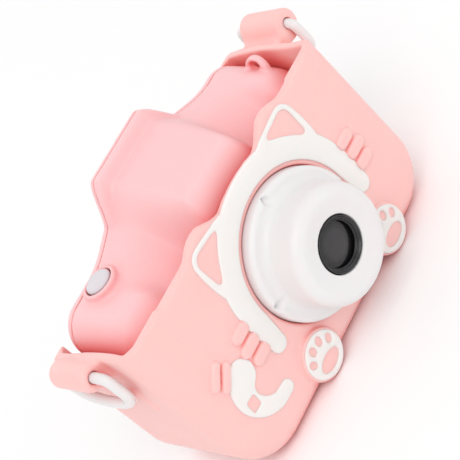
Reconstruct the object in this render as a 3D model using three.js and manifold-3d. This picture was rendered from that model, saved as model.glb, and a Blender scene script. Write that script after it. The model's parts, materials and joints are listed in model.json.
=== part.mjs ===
// Kids digital camera in a silicone cat case.
// Millimetres, +Z up, the lens looks along -Y. The origin is the centre of the case's flat base.

import * as THREE from 'three';
import { mergeVertices } from 'three/addons/utils/BufferGeometryUtils.js';
import Module from 'manifold-3d';

const wasm = await Module();
wasm.setup();

// ---- driving dimensions -------------------------------------------------------------------

const GAP = 0.3;                    // air between pieces that touch

const CASE = {
  halfWidth: 49,
  depth: 38.6,
  panel: 2.6,                       // thickness of the front panel
  wall: 2.4,
  rearLip: 2.0,
  lipLeft: 4.6,                     // the rear lip's width beside each wall
  lipRight: 13.5,
  lipRound: 3,
  corner: 15,                       // bottom corners, seen from the front
  edge: 6,                          // rounding round the front panel
  panelTop: 55.2,
  rimEnd: { left: 52.4, right: 53.8 },   // height of each wall's rim at the back
};

const BODY = {
  x: 1,
  halfWidth: 45,
  bottom: 2.9,
  corner: 12.5,
  shoulderCorner: 9,
  reference: 58,                    // height of the plain outline before the top is shaped
  shapedFrom: 34,                   // the top is shaped above this height
  lowestTop: 41.5,
  edge: 3,
  wall: 2,
  front: 3.0,                       // depths behind the panel face
  seam: 32.6,
  back: 35.8,
};

const LENS = { x: 3.8, z: 28 };
const FACE = -CASE.depth / 2;       // the panel's front face
const REAR = CASE.depth / 2;

const BEZEL = {
  baseRadius: 19.6,
  barrelRadius: 15.5,
  front: 14.5,
  aperture: 7.5,
  bore: 9.3,
  sleeve: 10.7,
};
const HOLE_RADIUS = 19.95;
const INLAY = { proud: 0.5, sunk: 0.6 };
const PAW = { x: 19.5, z: 7.2, radius: 6.9, proud: 1.6 };
const TUBES = {
  left: { x: -52.4, z: 53.2, radius: 3.7, from: 14, to: 29 },
  right: { x: 56.2, z: 54.2, radius: 4.2, from: 16.5, to: 32.2 },
};
const TUBE_BORE = 1.75;
const RING = { wire: 1.4, halfLength: 11, top: 6, drop: 6, slid: 1.4 };
const SHUTTER = { x: -28.6, depth: 28, top: 58.4, radius: 3.75 };
const SCREEN = { x: 11.6, z: 29, width: 44, height: 34 };
const KEY = { radius: 2.7, flange: 3.3, proud: 1.0, pitch: 7.4, x: -25.3, z: 29 };
const SELFIE = { x: LENS.x, z: 61 };
const SCREW = { x: 39.6, zLow: 10.5, zHigh: 45.5 };
const FOLD = { radius: 1.3, length: 9, depth: 13.5, z: 38.5 };
const STRIPE = { proud: 1.2, sunk: 1.5 };
const EYELET = { x: 41.6, depth: 19.8, z: 52, halfWidth: 4.2, height: 5, lean: 0.35 };
const PORTS = { x: 20, depth: 25, width: 28, length: 7 };
const SPEAKER = { x: -26.5, z: 11.6, radius: 6 };
const MICROPHONE = { x: -30, z: 22 };

// ---- colours ------------------------------------------------------------------------------

const material = (color, roughness, metalness = 0) =>
  new THREE.MeshStandardMaterial({ color, roughness, metalness });

const PINK_SILICONE = material('#fdbfba', 0.62);
const WHITE_SILICONE = material('#f4efec', 0.6);
const PINK_PLASTIC = material('#fcbcbc', 0.5);
const WHITE_PLASTIC = material('#ededed', 0.4);
const GREY_PLASTIC = material('#d8d3da', 0.4);
const BLACK_PLASTIC = material('#1c1c1e', 0.3);
const GLASS = new THREE.MeshStandardMaterial({
  color: '#20242a', roughness: 0.05, transparent: true, opacity: 0.4,
});
const BOARD = material('#1f6b43', 0.6);
const STEEL = material('#b9bbbe', 0.35, 1);
const CELL = material('#c9cdd2', 0.4, 0.6);

// ---- solids -------------------------------------------------------------------------------

function signedVolume(position, index) {
  const corner = [new THREE.Vector3(), new THREE.Vector3(), new THREE.Vector3()];
  let volume = 0;
  for (let i = 0; i < index.length; i += 3) {
    corner.forEach((point, k) => point.fromArray(position, 3 * index[i + k]));
    volume += corner[0].dot(corner[1].clone().cross(corner[2])) / 6;
  }
  return volume;
}

// A manifold solid made from a closed three.js geometry, with its faces pointing out.
function solid(geometry) {
  const bare = geometry.clone();
  bare.deleteAttribute('normal');
  bare.deleteAttribute('uv');
  const merged = mergeVertices(bare, 1e-4);
  const position = Float32Array.from(merged.attributes.position.array);
  const triangles = [];
  const all = merged.index.array;
  for (let i = 0; i < all.length; i += 3) {
    const [a, b, c] = [all[i], all[i + 1], all[i + 2]];
    if (a !== b && b !== c && c !== a) triangles.push(a, b, c);
  }
  if (signedVolume(position, triangles) < 0) triangles.reverse();
  const triVerts = Uint32Array.from(triangles);
  return new wasm.Manifold(new wasm.Mesh({ numProp: 3, vertProperties: position, triVerts }));
}

function toGeometry(body) {
  const mesh = body.getMesh();
  const geometry = new THREE.BufferGeometry();
  geometry.setAttribute('position', new THREE.BufferAttribute(mesh.vertProperties, 3));
  geometry.setIndex(new THREE.BufferAttribute(mesh.triVerts, 1));
  geometry.computeVertexNormals();
  return geometry;
}

const join = (first, ...others) => others.reduce((sum, next) => sum.add(next), first);
const cut = (first, ...others) => others.reduce((rest, next) => rest.subtract(next), first);

// An outline in X and Z, extruded along Y between two depths behind the panel face.
function slab(shape, from, to, options = {}) {
  const { bevel = 0, steps = 1, segments = 8, bevelSegments = 3 } = options;
  const geometry = new THREE.ExtrudeGeometry(shape, {
    depth: to - from - 2 * bevel,
    steps,
    curveSegments: segments,
    bevelEnabled: bevel > 0,
    bevelSize: bevel,
    bevelThickness: bevel,
    bevelOffset: -bevel,
    bevelSegments,
  });
  geometry.rotateX(Math.PI / 2);
  geometry.translate(0, FACE + to - bevel, 0);
  return geometry;
}

// The same outline grown by the gap, for the pocket that the piece sits in.
function grown(shape, from, to, by = GAP) {
  const thin = 0.01;
  const geometry = new THREE.ExtrudeGeometry(shape, {
    depth: to - from - 2 * thin,
    curveSegments: 5,
    bevelSize: by,
    bevelThickness: thin,
    bevelSegments: 1,
  });
  geometry.rotateX(Math.PI / 2);
  geometry.translate(0, FACE + to - thin, 0);
  return geometry;
}

function box(width, depth, height, x, y, z) {
  return new THREE.BoxGeometry(width, depth, height).translate(x, y, z);
}

// A box given by its middle in X and Z and its two depths behind the panel face.
function plate(width, height, x, z, from, to) {
  return box(width, to - from, height, x, FACE + (from + to) / 2, z);
}

// A body of revolution about an axis along Y: pairs of radius and depth behind the face.
function turned(profile, x, z, segments = 32) {
  const points = profile.map(([radius, depth]) => new THREE.Vector2(radius, FACE + depth));
  return new THREE.LatheGeometry(points, segments).translate(x, 0, z);
}

function disc(radius, x, z, from, to, segments = 24) {
  return turned([[0, from], [radius, from], [radius, to], [0, to]], x, z, segments);
}

// A body of revolution about a vertical axis: pairs of radius and height.
function upright(profile, x, y, segments = 24) {
  const points = profile.map(([radius, height]) => new THREE.Vector2(radius, height));
  return new THREE.LatheGeometry(points, segments).rotateX(Math.PI / 2).translate(x, y, 0);
}

function roundedRect(width, height, x, z, radius) {
  const shape = new THREE.Shape();
  const [w, h] = [width / 2, height / 2];
  shape.absarc(x + w - radius, z - h + radius, radius, -Math.PI / 2, 0, false);
  shape.absarc(x + w - radius, z + h - radius, radius, 0, Math.PI / 2, false);
  shape.absarc(x - w + radius, z + h - radius, radius, Math.PI / 2, Math.PI, false);
  shape.absarc(x - w + radius, z - h + radius, radius, Math.PI, 1.5 * Math.PI, false);
  return shape;
}

function capsule(x0, z0, x1, z1, radius) {
  const angle = Math.atan2(z1 - z0, x1 - x0);
  const shape = new THREE.Shape();
  shape.absarc(x1, z1, radius, angle - Math.PI / 2, angle + Math.PI / 2, false);
  shape.absarc(x0, z0, radius, angle + Math.PI / 2, angle + 1.5 * Math.PI, false);
  return shape;
}

const smooth = (low, high, value) => THREE.MathUtils.smoothstep(value, low, high);

// ---- the camera body ----------------------------------------------------------------------

// Height of the body's top at a distance from its middle and a depth behind the panel face: two
// puffy lobes with the viewfinder hump between them and a raised band at the hump's back.
function topHeight(x, depth) {
  const side = Math.abs(x - LENS.x);
  const frontDrop = 12 * (1 - smooth(3, 20, depth)) ** 2;
  const lobe = 56.7 - 0.17 * (33 - depth) - frontDrop;
  const foot = (3.5 + 2.5 * smooth(12, 30, depth)) * (1 - smooth(8, 32, side));
  const valley = 10.5 * (1 - smooth(8, 26, depth)) * Math.exp(-(((side - 21.5) / 8.5) ** 4));
  const band = smooth(28.6, 30.8, depth);
  const nose = 7 * (1 - smooth(3, 9, depth)) ** 2;
  const hump = 59.3 + 0.34 * (Math.min(depth, 28.6) - 5) + 3.5 * band - nose;
  const onHump = 1 - smooth(9 + 1.5 * band, 17.5 + 1.5 * band, side);
  return Math.max(THREE.MathUtils.lerp(lobe + foot - valley, hump, onHump), BODY.lowestTop);
}

// The plain outline of the body, drawn inward by the inset.
function bodyOutline(inset, spans) {
  const w = BODY.halfWidth - inset;
  const low = BODY.bottom + inset;
  const high = BODY.reference - inset;
  const r = BODY.corner - inset;
  const top = BODY.shoulderCorner - inset;
  const shape = new THREE.Shape();
  shape.absarc(w - r, low + r, r, -Math.PI / 2, 0, false);
  shape.absarc(w - top, high - top, top, 0, Math.PI / 2, false);
  for (let i = 1; i < spans; i += 1) {
    shape.lineTo(THREE.MathUtils.lerp(w - top, top - w, i / spans), high);
  }
  shape.absarc(top - w, high - top, top, Math.PI / 2, Math.PI, false);
  shape.absarc(r - w, low + r, r, Math.PI, 1.5 * Math.PI, false);
  return shape;
}

// Depths of the block's sections, and how far each is drawn in to round the two ends.
function sections(from, to, edge, arcSpans, spans) {
  const list = [];
  for (let i = 0; i <= arcSpans; i += 1) {
    const angle = (Math.PI / 2) * (i / arcSpans);
    list.push({ depth: edge * (1 - Math.cos(angle)), inward: edge * (1 - Math.sin(angle)) });
  }
  const front = list.map(({ depth, inward }) => ({ depth: from + depth, inward }));
  const rear = list.map(({ depth, inward }) => ({ depth: to - depth, inward })).reverse();
  const middle = [];
  for (let i = 1; i < spans; i += 1) {
    middle.push({ depth: THREE.MathUtils.lerp(from + edge, to - edge, i / spans), inward: 0 });
  }
  const before = { depth: from - 1, inward: edge };
  const after = { depth: to + 1, inward: edge };
  return [before, ...front, ...middle, ...rear, after];
}

// The body's block with its shaped top, between two depths and drawn inward by the inset.
function bodyBlock(inset, from, to) {
  const hollow = inset > 0;
  const edge = Math.max(BODY.edge - inset, 1);
  const rings = hollow ? sections(from, to, edge, 1, 4) : sections(from, to, edge, 3, 7);
  const shape = bodyOutline(inset, hollow ? 10 : 20);
  const spans = rings.length - 1;
  const options = { depth: 1, steps: spans, bevelEnabled: false, curveSegments: hollow ? 3 : 5 };
  const geometry = new THREE.ExtrudeGeometry(shape, options);
  const position = geometry.attributes.position;
  const base = BODY.shapedFrom;
  const low = BODY.bottom + inset;
  const high = BODY.reference - inset;
  const width = BODY.halfWidth - inset;
  for (let i = 0; i < position.count; i += 1) {
    const { depth, inward } = rings[Math.round(position.getZ(i) * spans)];
    const x = BODY.x + position.getX(i) * (1 - inward / width);
    const plain = position.getY(i);
    const height = topHeight(x, depth) - inset - inward;
    const above = base + (plain - base) * ((height - base) / (high - base));
    const below = base - (base - plain) * ((base - low - inward) / (base - low));
    position.setXYZ(i, x, FACE + depth, plain > base ? above : below);
  }
  return solid(geometry).intersect(solid(plate(200, 200, 0, 40, from, to)));
}

// The loop on the right shoulder that a cord can be tied to.
function eyelet() {
  const { x, depth, z, halfWidth, height, lean } = EYELET;
  const shape = new THREE.Shape();
  shape.absellipse(0, 0, halfWidth, height, 0, Math.PI, false);
  shape.lineTo(-halfWidth, -3);
  shape.lineTo(halfWidth, -3);
  const eye = new THREE.Path();
  eye.absellipse(0, 2.1, 1.9, 1.4, 0, 2 * Math.PI, true);
  shape.holes.push(eye);
  const bevel = 0.4;
  const thick = 2.2;
  const loop = new THREE.ExtrudeGeometry(shape, {
    depth: thick - 2 * bevel,
    bevelSize: bevel,
    bevelThickness: bevel,
    bevelOffset: -bevel,
    bevelSegments: 1,
    curveSegments: 8,
  });
  loop.translate(0, 0, bevel - thick / 2);
  loop.rotateX(Math.PI / 2);
  loop.rotateZ(Math.PI / 2);
  loop.rotateY(lean);
  return loop.translate(x, FACE + depth, z);
}

const screwPlaces = [[-1, SCREW.zLow], [1, SCREW.zLow], [-1, SCREW.zHigh], [1, SCREW.zHigh]]
  .map(([side, z]) => [BODY.x + side * SCREW.x, z]);

function bodyShell() {
  const outer = bodyBlock(0, BODY.front, BODY.back);
  const inner = bodyBlock(BODY.wall, BODY.front + BODY.wall, BODY.back - BODY.wall);
  return { outer, inner };
}

const usbSlot = plate(9.6, 12, PORTS.x - 7, 0, PORTS.depth - 2.2, PORTS.depth + 2.2);
const cardSlot = plate(12.6, 12, PORTS.x + 6.5, 0, PORTS.depth - 1.4, PORTS.depth + 1.4);

function frontShell() {
  const { outer, inner } = bodyShell();
  const collar = upright([[0, 50], [5.1, 50], [5.1, 57.2], [4.6, 57.7], [0, 57.7]],
    SHUTTER.x, FACE + SHUTTER.depth);
  const hollowCollar = upright([[0, 45], [5.6, 45], [5.6, 54.4], [0, 54.4]],
    SHUTTER.x, FACE + SHUTTER.depth);
  const buttonHole = upright([[0, 45], [4.05, 45], [4.05, 65], [0, 65]],
    SHUTTER.x, FACE + SHUTTER.depth);
  const behindSeam = plate(140, 140, 0, 40, BODY.seam - 0.1, 80);
  let shell = join(outer, solid(eyelet()), solid(collar));
  shell = cut(shell, inner, solid(hollowCollar), solid(buttonHole));
  for (const [x, z] of screwPlaces) {
    const post = solid(disc(3.2, x, z, BODY.front + 1, BODY.seam - 0.3, 16));
    const screwBore = solid(disc(1.5, x, z, BODY.seam - 9.5, BODY.seam + 2, 12));
    shell = cut(join(shell, post.intersect(outer)), screwBore);
  }
  const lensHole = solid(disc(BEZEL.sleeve + GAP, LENS.x, LENS.z, 0, 10, 32));
  const microphoneHole = solid(disc(0.8, MICROPHONE.x, MICROPHONE.z, 0, 10, 10));
  return cut(shell, lensHole, microphoneHole, solid(usbSlot), solid(cardSlot), solid(behindSeam));
}

function keyPlaces() {
  const { x, z, pitch } = KEY;
  return {
    key_ok: [x, z],
    key_up: [x, z + pitch],
    key_down: [x, z - pitch],
    key_left: [x + pitch, z],
    key_right: [x - pitch, z],
    key_mode: [x + 0.92 * pitch, z + 1.96 * pitch],
    key_power: [x - 0.92 * pitch, z + 1.96 * pitch],
  };
}

function rearCover() {
  const { outer } = bodyShell();
  const frontOfSeam = plate(140, 140, 0, 40, -20, BODY.seam + 0.2);
  let cover = cut(outer, solid(frontOfSeam));
  const { x, z, width, height } = SCREEN;
  const windowHole = solid(plate(width, height, x, z, 20, 50));
  const windowRecess = solid(plate(width + 6.6, height + 6.6, x, z, BODY.back - 1.5, 50));
  cover = cut(cover, windowHole, windowRecess);
  for (const [keyX, keyZ] of Object.values(keyPlaces())) {
    cover = cut(cover, solid(disc(KEY.radius + 0.35, keyX, keyZ, 20, 50, 16)));
  }
  for (const [screwX, screwZ] of screwPlaces) {
    const through = solid(disc(1.5, screwX, screwZ, 20, 50, 12));
    const sink = solid(disc(2.6, screwX, screwZ, BODY.back - 1.7, 50, 16));
    cover = cut(cover, through, sink);
  }
  for (const shift of [-3, 0, 3]) {
    cover = cut(cover, solid(plate(8, 1.2, SPEAKER.x, SPEAKER.z + shift, 20, 50)));
  }
  const selfieHole = solid(disc(2.6, SELFIE.x, SELFIE.z, 20, 50));
  const selfieRecess = solid(disc(4.2, SELFIE.x, SELFIE.z, BODY.back - 1.3, 50));
  return cut(cover, selfieHole, selfieRecess);
}

// ---- the silicone case --------------------------------------------------------------------

function caseOutline(inset, top) {
  const w = CASE.halfWidth - inset;
  const r = CASE.corner - inset;
  const low = inset;
  const shape = new THREE.Shape();
  shape.absarc(w - r, low + r, r, -Math.PI / 2, 0, false);
  shape.lineTo(w, top);
  shape.lineTo(-w, top);
  shape.absarc(r - w, low + r, r, Math.PI, 1.5 * Math.PI, false);
  return shape;
}

// The panel's top edge: level at the sides, raised behind the ears, low over the lens.
function panelProfile() {
  const half = [[30, 55.2], [26.5, 55.2], [24.2, 55.6], [21.5, 56.8], [18.8, 57.4], [16, 57.1],
    [13.6, 55.7], [11.5, 54.4], [9, 53.6], [5.5, 54.2], [0, 54.5]];
  const left = half.slice(0, -1).reverse().map(([x, z]) => [-x, z]);
  const points = [...half, ...left].map(([x, z]) => new THREE.Vector2(LENS.x + x, z));
  const shape = new THREE.Shape();
  shape.moveTo(80, -5);
  shape.lineTo(80, CASE.panelTop);
  shape.lineTo(points[0].x, points[0].y);
  shape.splineThru(points.slice(1));
  shape.lineTo(-80, CASE.panelTop);
  shape.lineTo(-80, -5);
  return shape;
}

// Depth and height along each side wall's rim, from the panel to the back.
const rimPoints = {
  left: [[10, 55.8], [20, 55], [28, 53.4], [CASE.depth, CASE.rimEnd.left]],
  right: [[10, 54.6], [20, 55.3], [28, 55.1], [CASE.depth, CASE.rimEnd.right]],
};

// What lies below one side wall's rim, between the panel's raised middle and the wall.
function belowRim(side) {
  const shape = new THREE.Shape();
  const start = FACE + CASE.panel - 0.2;
  const rim = side < 0 ? rimPoints.left : rimPoints.right;
  shape.moveTo(start, -5);
  shape.lineTo(start, CASE.panelTop);
  shape.splineThru(rim.map(([depth, z]) => new THREE.Vector2(FACE + depth, z)));
  shape.lineTo(REAR + 5, CASE.rimEnd[side < 0 ? 'left' : 'right']);
  shape.lineTo(REAR + 5, -5);
  const [inner, reach] = [36, 44];
  const options = { depth: reach, bevelEnabled: false, curveSegments: 4 };
  const geometry = new THREE.ExtrudeGeometry(shape, options);
  geometry.translate(0, 0, side < 0 ? -inner - reach : inner);
  geometry.rotateX(Math.PI / 2);
  geometry.rotateZ(Math.PI / 2);
  return geometry;
}

// The tube on a side wall that a strap ring hangs in, and the web that holds it to the wall.
function strapTube(side) {
  const { x, z, radius, from, to } = side < 0 ? TUBES.left : TUBES.right;
  const edge = 1;
  const tube = turned([[0, from], [radius - edge, from], [radius, from + edge], [radius, to - edge],
    [radius - edge, to], [0, to]], x, z, 20);
  const inside = side * (CASE.halfWidth - CASE.wall + 0.2);
  const web = plate(Math.abs(x - inside), 4, (x + inside) / 2, z - 2.7, from + 0.8, to - 0.8);
  const hole = disc(TUBE_BORE, x, z, from - 5, to + 5, 16);
  return { added: join(solid(tube), solid(web)), hole: solid(hole) };
}

function pawBoss(side) {
  const x = LENS.x + side * PAW.x;
  return solid(disc(PAW.radius + 0.15, x, PAW.z, -PAW.proud, 5, 28));
}

// Short raised bars, given by the two ends of each bar's middle line beside the lens: three at
// the end of each arm of the head band and two by the tail.
function raisedStripes() {
  const bars = [
    [28, 4.6, 31, 4.6],
    [28.4, 0.3, 32.2, 0.3],
    [28.2, -4, 31.4, -4],
  ];
  const mirrored = bars.map(([x0, z0, x1, z1]) => [-x0, z0, -x1, z1]);
  const byTail = [[-44.2, 3.4, -40.2, 6.4], [-42.6, 0.4, -38.4, 3.6]];
  const places = [
    ...[...bars, ...mirrored].map((bar) => [bar, 1.85]),
    ...byTail.map((bar) => [bar, 1.4]),
  ];
  return places.map(([[x0, z0, x1, z1], radius]) => {
    const shape = capsule(LENS.x + x0, LENS.z + z0, LENS.x + x1, LENS.z + z1, radius);
    return solid(slab(shape, -STRIPE.proud, STRIPE.sunk, { segments: 5, bevel: 0.4, bevelSegments: 1 }));
  });
}

// A soft upright fold on each side wall, in front of the strap ring.
function wallFold(side) {
  const fold = new THREE.CapsuleGeometry(FOLD.radius, FOLD.length, 3, 8);
  fold.rotateX(Math.PI / 2);
  return solid(fold.translate(side * (CASE.halfWidth - 0.3), FACE + FOLD.depth, FOLD.z));
}

// What is cut away to round the top of the rear lip beside one wall.
function lipCorner(side, top) {
  const radius = CASE.lipRound;
  const x = side * 75;
  const round = new THREE.CylinderGeometry(radius, radius, 200, 24).rotateZ(Math.PI / 2);
  round.translate(x, REAR - radius, top - radius);
  const above = box(150, radius, 40, x, REAR - radius / 2, top + 20);
  const behind = box(150, radius, radius, x, REAR - radius / 2, top - radius / 2);
  return cut(join(solid(above), solid(behind)), solid(round));
}

function siliconeCase(pockets) {
  const outline = caseOutline(0, 90);
  const outer = slab(outline, 0, CASE.depth + 4, { bevel: CASE.edge, segments: 4, bevelSegments: 3 });
  const beyond = plate(200, 300, 0, 40, CASE.depth, CASE.depth + 20);
  const cavity = slab(caseOutline(CASE.wall, 100), CASE.panel, CASE.depth - CASE.rearLip,
    { bevel: 3.2, segments: 4, bevelSegments: 2 });
  const panel = slab(panelProfile(), -5, CASE.panel + 0.4, { segments: 4 });
  const lowMiddle = plate(80, 60, 0, 10, 1, CASE.depth + 5);
  const top = join(solid(panel), solid(lowMiddle), solid(belowRim(-1)), solid(belowRim(1)));
  let body = cut(solid(outer), solid(beyond)).intersect(top);
  body = join(body, pawBoss(-1), pawBoss(1), ...raisedStripes(), wallFold(-1), wallFold(1));
  const tubes = [strapTube(-1), strapTube(1)];
  body = join(body, tubes[0].added, tubes[1].added);
  body = cut(body, solid(cavity), tubes[0].hole, tubes[1].hole);
  const { lipLeft, lipRight, halfWidth, depth } = CASE;
  const openWidth = 2 * halfWidth - lipLeft - lipRight;
  const opening = roundedRect(openWidth, 120, (lipLeft - lipRight) / 2, 60 + 8, 8);
  body = cut(body, solid(slab(opening, depth - 6, depth + 6)));
  body = cut(body, lipCorner(-1, CASE.rimEnd.left), lipCorner(1, CASE.rimEnd.right));
  body = cut(body, solid(disc(HOLE_RADIUS, LENS.x, LENS.z, -6, 6, 48)));
  const portWindow = box(PORTS.width, PORTS.length, 12, PORTS.x, FACE + PORTS.depth, 0);
  return cut(body, solid(portWindow), ...pockets);
}

// ---- white inlays of the front panel ------------------------------------------------------

// The head band: an arch over the lens with two ears and two arms.
function bandShape() {
  const { x: cx, z: cz } = LENS;
  const shape = new THREE.Shape();
  const at = (x, z) => [cx + x, cz + z];
  shape.moveTo(...at(21.9, -7.3));
  shape.absarc(...at(24.6, -7.3), 2.7, Math.PI, 2 * Math.PI, false);
  shape.quadraticCurveTo(...at(28.4, 5), ...at(25.1, 12.6));
  shape.quadraticCurveTo(...at(25.8, 17), ...at(25.2, 22.6));
  shape.quadraticCurveTo(...at(24.9, 27.3), ...at(20.6, 27.3));
  shape.quadraticCurveTo(...at(15, 27), ...at(9.5, 25.9));
  shape.quadraticCurveTo(...at(5, 27.3), ...at(0, 27.3));
  shape.quadraticCurveTo(...at(-5, 27.3), ...at(-9.5, 25.9));
  shape.quadraticCurveTo(...at(-15, 27), ...at(-20.6, 27.3));
  shape.quadraticCurveTo(...at(-24.9, 27.3), ...at(-25.2, 22.6));
  shape.quadraticCurveTo(...at(-25.8, 17), ...at(-25.1, 12.6));
  shape.quadraticCurveTo(...at(-28.4, 5), ...at(-27.3, -7.3));
  shape.absarc(...at(-24.6, -7.3), 2.7, Math.PI, 2 * Math.PI, false);
  shape.lineTo(...at(-21, 0));
  shape.absarc(...at(0, 0), 21, Math.PI, 0, true);
  shape.lineTo(...at(21.9, -7.3));
  for (const side of [-1, 1]) {
    const ear = new THREE.Path();
    const on = (x, z) => at(side * x, z);
    ear.moveTo(...on(15.4, 25.4));
    ear.quadraticCurveTo(...on(12.9, 25), ...on(14.6, 23.6));
    ear.quadraticCurveTo(...on(18.6, 20.6), ...on(21.4, 16.9));
    ear.quadraticCurveTo(...on(23.3, 14.8), ...on(23.6, 17.6));
    ear.lineTo(...on(23.7, 22.6));
    ear.quadraticCurveTo(...on(23.6, 25.8), ...on(20.6, 25.8));
    shape.holes.push(ear);
  }
  return shape;
}

// A curled tail: a stroke along a curve, fat at its root and thin at its tip.
function tailShape() {
  const spine = new THREE.SplineCurve([[-37.6, -2.2], [-40.3, -4.8], [-41.2, -8.8], [-39.4, -13],
    [-36, -15.6], [-31.9, -16.1]].map(([x, z]) => new THREE.Vector2(LENS.x + x, LENS.z + z)));
  const halfWidth = (t) => 2.1 + 2.4 * (1 - t) ** 1.6;
  const spans = 14;
  const sides = [[], []];
  for (let i = 0; i <= spans; i += 1) {
    const t = i / spans;
    const point = spine.getPointAt(t);
    const along = spine.getTangentAt(t);
    const across = new THREE.Vector2(-along.y, along.x).multiplyScalar(halfWidth(t));
    sides[0].push(point.clone().add(across));
    sides[1].push(point.clone().sub(across));
  }
  const roundEnd = (t, turn) => {
    const along = spine.getTangentAt(t);
    const start = Math.atan2(along.x, -along.y) + turn;
    const ends = [];
    for (let i = 1; i < 6; i += 1) {
      const angle = start - (Math.PI * i) / 6;
      const offset = new THREE.Vector2(Math.cos(angle), Math.sin(angle)).multiplyScalar(halfWidth(t));
      ends.push(spine.getPointAt(t).add(offset));
    }
    return ends;
  };
  const outline = [...sides[0], ...roundEnd(1, 0), ...sides[1].reverse(), ...roundEnd(0, Math.PI)];
  const shape = new THREE.Shape(outline);
  const eye = [[-1.6, -1.7], [1.3, -1.9], [1.7, 1.6], [-1.1, 1.9]];
  const middle = new THREE.Vector2(LENS.x - 40.9, LENS.z - 9.3);
  shape.holes.push(new THREE.Path(eye.map(([x, z]) => new THREE.Vector2(x, z).add(middle))));
  return shape;
}

// A paw: a round face with four toes and a pad left open.
function pawShape(side) {
  const x = LENS.x + side * PAW.x;
  const shape = new THREE.Shape();
  shape.absarc(x, PAW.z, PAW.radius - 0.7, 0, 2 * Math.PI, false);
  const toe = (dx, dz, a, b, turn) => {
    const path = new THREE.Path();
    path.absellipse(x + dx, PAW.z + dz, a, b, 0, 2 * Math.PI, true, turn);
    shape.holes.push(path);
  };
  toe(-4.2, 1.5, 1, 1.35, 0.5);
  toe(-1.6, 3.7, 1.05, 1.4, 0.15);
  toe(1.6, 3.7, 1.05, 1.4, -0.15);
  toe(4.2, 1.5, 1, 1.35, -0.5);
  toe(0, -2.5, 3.8, 2.2, 0);
  return shape;
}

function inlay(shape, lift) {
  const piece = slab(shape, -INLAY.proud - lift, INLAY.sunk - lift, { segments: 5 });
  const pocket = grown(shape, -8, INLAY.sunk + GAP - lift);
  return { piece: solid(piece), pocket: solid(pocket) };
}

// ---- strap rings --------------------------------------------------------------------------

// A closed D ring: a straight bar in the tube and a round bow below it.
function strapRing(side) {
  const major = 10;
  const torus = new THREE.TorusGeometry(major, 1, 8, 28);
  const position = torus.attributes.position;
  const power = (value, n) => Math.sign(value) * Math.abs(value) ** (2 / n);
  const bowPoint = (angle) => {
    const up = Math.sin(angle) > 0;
    const n = up ? 8 : 2.4;
    const height = up ? RING.top : RING.drop;
    return new THREE.Vector2(RING.halfLength * power(Math.cos(angle), n),
      height * power(Math.sin(angle), n) - RING.top);
  };
  for (let i = 0; i < position.count; i += 1) {
    const [px, py, pz] = [position.getX(i), position.getY(i), position.getZ(i)];
    const angle = Math.atan2(py, px);
    const out = Math.hypot(px, py) - major;
    const point = bowPoint(angle);
    const ahead = bowPoint(angle + 0.01).sub(bowPoint(angle - 0.01)).normalize();
    const normal = new THREE.Vector2(ahead.y, -ahead.x).multiplyScalar(RING.wire * out);
    point.add(normal);
    position.setXYZ(i, RING.wire * pz, point.x, point.y);
  }
  const tube = side < 0 ? TUBES.left : TUBES.right;
  const middle = FACE + (tube.from + tube.to) / 2;
  return solid(torus.translate(tube.x, middle + side * RING.slid, tube.z));
}

// ---- lens ---------------------------------------------------------------------------------

function lensBezel() {
  const { baseRadius, barrelRadius, front, aperture, bore, sleeve } = BEZEL;
  const profile = [
    [bore, 4.6], [bore, -front + 2.6], [aperture, -front + 2.6], [aperture, -front + 0.9],
    [aperture + 2.4, -front + 0.25], [barrelRadius - 3, -front],
    [barrelRadius - 1.2, -front + 0.5], [barrelRadius - 0.25, -front + 1.6], [barrelRadius, -front + 3],
    [barrelRadius, -7], [barrelRadius + 0.5, -5.4], [barrelRadius + 1.6, -4.3],
    [baseRadius - 1.3, -3.4], [baseRadius - 0.3, -2.2], [baseRadius, -0.6], [baseRadius, 2.6],
    [sleeve, 2.6], [sleeve, 4.6], [bore, 4.6],
  ];
  let bezel = solid(turned(profile, LENS.x, LENS.z, 40));
  for (let i = 0; i < 4; i += 1) {
    const notch = new THREE.BoxGeometry(1.6, 2.4, 2.2);
    notch.translate(0, FACE - 3.6, baseRadius - 1.4);
    notch.rotateY((i * Math.PI) / 2);
    bezel = cut(bezel, solid(notch.translate(LENS.x, 0, LENS.z)));
  }
  return bezel;
}

function lensHood() {
  const { front, aperture, bore } = BEZEL;
  const outer = bore - GAP;
  const profile = [
    [aperture - 0.6, -front + 1], [aperture - GAP, -front + 1], [aperture - GAP, -front + 2.9],
    [outer, -front + 2.9], [outer, -4.5], [5.4, -4.5], [5.4, -10.2], [6.9, -10.2], [6.9, -12],
    [5.8, -12.2], [aperture - 0.6, -front + 1],
  ];
  return solid(turned(profile, LENS.x, LENS.z, 32));
}

function frontCameraModule() {
  const lensTube = turned([[0, -8.8], [2.2, -8.8], [3.0, -9.3], [4.6, -9.3], [4.6, 6], [0, 6]],
    LENS.x, LENS.z, 24);
  return join(solid(lensTube), solid(plate(16, 16, LENS.x, LENS.z, 5.4, 13)));
}

// ---- buttons and keys ---------------------------------------------------------------------

function shutterButton() {
  const { x, depth, top, radius } = SHUTTER;
  const profile = [[0, 51.5], [2, 51.5], [2, 52.6], [4.8, 52.6], [4.8, 53.6], [radius, 53.6],
    [radius, top - 0.7], [radius - 0.6, top - 0.1], [0, top]];
  return solid(upright(profile, x, FACE + depth));
}

function rearKey([x, z], radius = KEY.radius) {
  const tip = BODY.back + KEY.proud;
  const profile = [[0, 31.3], [KEY.flange, 31.3], [KEY.flange, 32.3], [radius, 32.3],
    [radius, tip - 0.5], [radius - 0.5, tip], [0, tip]];
  return solid(turned(profile, x, z, 16));
}

// ---- assembly -----------------------------------------------------------------------------

const camera = new THREE.Group();
camera.name = 'kids_camera';

function add(name, shape, look) {
  const geometry = shape.isBufferGeometry ? toGeometry(solid(shape)) : toGeometry(shape);
  const mesh = new THREE.Mesh(geometry, look);
  mesh.name = name;
  camera.add(mesh);
}

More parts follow.
